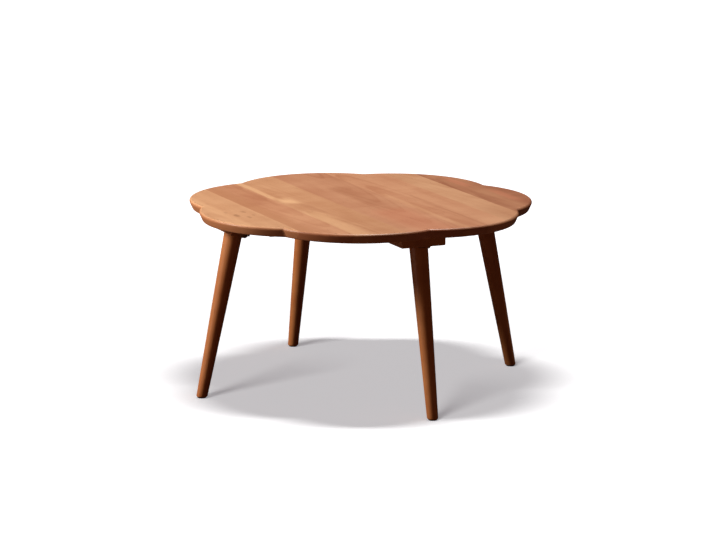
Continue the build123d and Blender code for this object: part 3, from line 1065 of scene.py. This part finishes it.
# %% The felt
FELT_DEPTH = 0.0003
felt, graph, shader, place = started("grey brown felt")
matted = graph.noise(place, 1400.0, 4.0, 0.7)
clump = graph.noise(place, 260.0, 2.0)
looks = {
    "Base Color": graph.mix(matted * 0.6 + clump * 0.4, linear(74, 62, 52), linear(124, 108, 94)),
    "Roughness": 0.88 + (matted - 0.5) * 0.15,
    "Normal": graph.bump(matted, 0.8, FELT_DEPTH),
    "Sheen Weight": 0.3,
}
graph.fill(shader, looks)
print("the felt's tree has", len(graph.tree.nodes), "nodes")

# %% Make the foot pads
RIM_SOFTNESS = 0.0006
UNEVENNESS = 0.00015
PAD_SIDES = 48
RIM_STEPS = 5


def felt_disc(name, node):
    """A disc with a soft rim inside a node's box."""
    low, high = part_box(node)
    middle = (low + high) / 2
    wide = (high.x - low.x) / 2
    thick = high.z - low.z
    soft = RIM_SOFTNESS
    profile = [(0.0, 0.0), (wide * 0.5, 0.0), (wide - soft, 0.0)]
    quarter = [pi / 2 * step / RIM_STEPS for step in range(1, RIM_STEPS)]
    profile += [(wide - soft + soft * sin(way), soft - soft * cos(way)) for way in quarter]
    profile += [(wide, soft), (wide, thick - soft)]
    profile += [(wide - soft + soft * cos(way), thick - soft + soft * sin(way)) for way in quarter]
    profile += [(wide - soft, thick), (wide * 0.5, thick), (0.0, thick)]
    dice = random.Random(name)
    work = bmesh.new()
    rings = []
    for reach, level in profile:
        loop = []
        for step in range(PAD_SIDES):
            way = 2 * pi * step / PAD_SIDES
            out = max(reach - dice.uniform(0.0, UNEVENNESS), 0.0) if reach > 0 else 0.0
            spot = (middle.x + out * cos(way), middle.y + out * sin(way), low.z + level)
            loop.append(work.verts.new(spot))
        rings.append(loop)
    for inner, outer in zip(rings[:-1], rings[1:]):
        for step in range(PAD_SIDES):
            after = (step + 1) % PAD_SIDES
            work.faces.new((inner[step], outer[step], outer[after], inner[after]))
    bmesh.ops.remove_doubles(work, verts=work.verts, dist=1e-7)
    bmesh.ops.recalc_face_normals(work, faces=work.faces)
    return smooth_piece(name, work, felt)


for side in SIDES:
    pad = felt_disc(f"{side}_foot_felt", f"{side}_foot_pad")
    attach(pad, f"{side}_leg_unit")
    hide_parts(f"{side}_foot_pad")
print("felt discs made on", len(SIDES), "feet")

# %% [markdown]
# ## Floor, light and camera
# The table stands on a plain white floor. A long soft lamp on the ceiling gives the round shadow
# under the top, and a sun from the left, which only the legs block, lays a streak behind each
# foot. A lamp lights the floor less and less further out, so the floor also glows by itself:
# little near the table, where the shadow has to stay grey, and more with distance, until it is
# as white as the backdrop that it meets.
#
# The floor looks white to the camera but sends little light back up, as a studio floor does when
# it is lit apart from the product. What light does reach the undersides is brown, like light
# that has bounced off other wood.

# %% The floor
FLOOR_HALF = 40.0
FLOOR_LEVEL = -0.0005
SHADOW_LEVEL = 0.325
GLOW_GROWS = (0.8, 2.2)
GLOW_TINT = (0.95, 0.945, 1.0, 1.0)
LIT_TINT = (0.80, 0.80, 0.80, 1.0)
BOUNCE_TINT = (0.10, 0.05, 0.03, 1.0)
floor_mesh = bpy.data.meshes.new("floor")
corners = [(x * FLOOR_HALF, y * FLOOR_HALF) for x, y in ((-1, -1), (1, -1), (1, 1), (-1, 1))]
floor_mesh.from_pydata([(x, y, FLOOR_LEVEL) for x, y in corners], [], [(0, 1, 2, 3)])
floor = placed("floor", floor_mesh)
floor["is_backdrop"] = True
paint, graph, shader, spot = started("white studio floor")
paint.node_tree.nodes.remove(shader)
lit = graph.node("ShaderNodeBsdfDiffuse", {"Color": LIT_TINT})
bright = graph.between(graph.length(spot), *GLOW_GROWS) * (1.0 - SHADOW_LEVEL) + SHADOW_LEVEL
glow = graph.node("ShaderNodeEmission", {"Color": GLOW_TINT, "Strength": bright})
seen = graph.node("ShaderNodeAddShader", {0: lit.outputs[0], 1: glow.outputs[0]})
bounced = graph.node("ShaderNodeBsdfDiffuse", {"Color": BOUNCE_TINT})
path = graph.node("ShaderNodeLightPath")
chosen = {0: path.outputs["Is Camera Ray"], 1: bounced.outputs[0], 2: seen.outputs[0]}
choice = graph.node("ShaderNodeMixShader", chosen)
graph.fill(paint.node_tree.nodes["Material Output"], {"Surface": choice.outputs[0]})
floor_mesh.materials.append(paint)
print("the floor is", 2 * FLOOR_HALF, "m wide and glows at", SHADOW_LEVEL, "near the table")

# %% The room's own light
SEEN = 1.0
GLOSSY = 0.12
DIFFUSE = 0.037
WHITE = (1.0, 1.0, 1.0, 1.0)
ROOM_BROWN = (1.0, 0.42, 0.20, 1.0)
world = bpy.data.worlds.new("studio")
bpy.context.scene.world = world
world.use_nodes = True
graph = Graph(world.node_tree)
backdrop = world.node_tree.nodes["Background"]
path = graph.node("ShaderNodeLightPath")
direct = graph.number(path.outputs["Is Camera Ray"])
strength = direct * (SEEN - DIFFUSE) + DIFFUSE
strength = strength + graph.number(path.outputs["Is Glossy Ray"]) * (GLOSSY - DIFFUSE)
graph.fill(backdrop, {"Color": graph.mix(direct, ROOM_BROWN, WHITE), "Strength": strength})
print("the room's light on the pieces is", DIFFUSE, "of what the camera sees")

# %% [markdown]
# ## The lamps
# A key lamp from the left shapes the legs and the rim, and their right sides stay dark. It is
# two lamps in one place, one of which doesn't show in reflections, so that the oiled top has
# only half the glare. A weak wide lamp from the side warms the edge of the top, and one overhead
# lights its face. None of these reaches the floor, which has lamps of its own.


# %% Helpers for lamps
def lamp(name, kind, place, target, shines_on, blocked_by=None, **settings):
    """Hang a lamp that faces a target, shines on some objects and is blocked by some."""
    light = bpy.data.lights.new(name, kind)
    for key, value in settings.items():
        setattr(light, key, value)
    hung = placed(name, light)
    hung.location = place
    hung.rotation_euler = (Vector(target) - Vector(place)).to_track_quat("-Z", "Y").to_euler()
    hung.light_linking.receiver_collection = shines_on
    hung.light_linking.blocker_collection = blocked_by
    return hung


def way_to(azimuth, elevation):
    """The direction at an angle round from +X and an angle above the floor."""
    turn = radians(azimuth)
    rise = radians(elevation)
    return Vector((cos(turn) * cos(rise), sin(turn) * cos(rise), sin(rise)))


# %% What each lamp shines on, and what blocks it
floor_only = bpy.data.collections.new("lit floor")
floor_only.objects.link(floor)
table_only = bpy.data.collections.new("lit table")
legs_only = bpy.data.collections.new("legs")
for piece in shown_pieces():
    table_only.objects.link(piece)
    if "_leg_wood" in piece.name:
        legs_only.objects.link(piece)

# %% Lamps on the table: where they hang, how wide they are in metres, and their power in watts
MIDDLE = Vector((0.0, 0.0, 0.3))
KEY_PLACE = way_to(162, 33) * 3.2
SIDE_PLACE = way_to(176, 6) * 3.0
OVERHEAD_PLACE = (0.5, 0.1, 3.3)
KEY_COLOUR = (1.0, 0.94, 0.87)
TABLE_LAMPS = {
    "key": (KEY_PLACE, {"size": 0.7, "energy": 52, "color": KEY_COLOUR}),
    "key without glare": (KEY_PLACE, {"size": 0.7, "energy": 47, "color": KEY_COLOUR}),
    "side": (SIDE_PLACE, {"size": 1.6, "energy": 6, "color": (1.0, 0.84, 0.74)}),
    "overhead": (OVERHEAD_PLACE, {"size": 0.8, "energy": 72, "color": (1.0, 0.98, 0.97)}),
}
for name, (place, settings) in TABLE_LAMPS.items():
    hung = lamp(name, "AREA", place, MIDDLE, table_only, **settings)
    hung.visible_glossy = name != "key without glare"
print("lamps on the table:", *TABLE_LAMPS, sep="\n  ")

# %% [markdown]
# The ceiling lamp is an ellipse that hangs level, with its long side across the view. That makes
# the shadow softer at its left and right than at its near and far edge.

# %% Lamps on the floor
CEILING_PLACE = (-0.15, -0.06, 3.6)
CEILING_SPOT = (-0.15, -0.06, 0.0)
CEILING_TURN = -24.28
ellipse = {"shape": "ELLIPSE", "size": 1.15, "size_y": 0.30, "energy": 96}
ceiling = lamp("ceiling", "AREA", CEILING_PLACE, CEILING_SPOT, floor_only, **ellipse)
ceiling.rotation_euler = (0.0, 0.0, radians(CEILING_TURN))
low_sun = {"angle": radians(18), "energy": 1.15}
lamp("foot shadows", "SUN", way_to(214, 47) * 3, (0, 0, 0), floor_only, legs_only, **low_sun)
print("the ceiling lamp is", ellipse["size"], "m long")

# %% The camera
CAMERA_TURN = (78.3127, -0.2081, -24.2807)
camera_data = bpy.data.cameras.new("camera")
camera_data.lens = 158.04
camera_data.sensor_width = 36.0
camera = placed("camera", camera_data)
camera.location = (-2.9314, -6.4745, 1.7340)
camera.rotation_euler = [radians(angle) for angle in CAMERA_TURN]
bpy.context.scene.camera = camera
bpy.context.scene.view_settings.view_transform = "Standard"
print("the camera is", round(camera.location.length, 2), "m from the table's foot")

# %% Finish
low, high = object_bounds()
print("size of the pieces", [round(v, 4) for v in high - low])
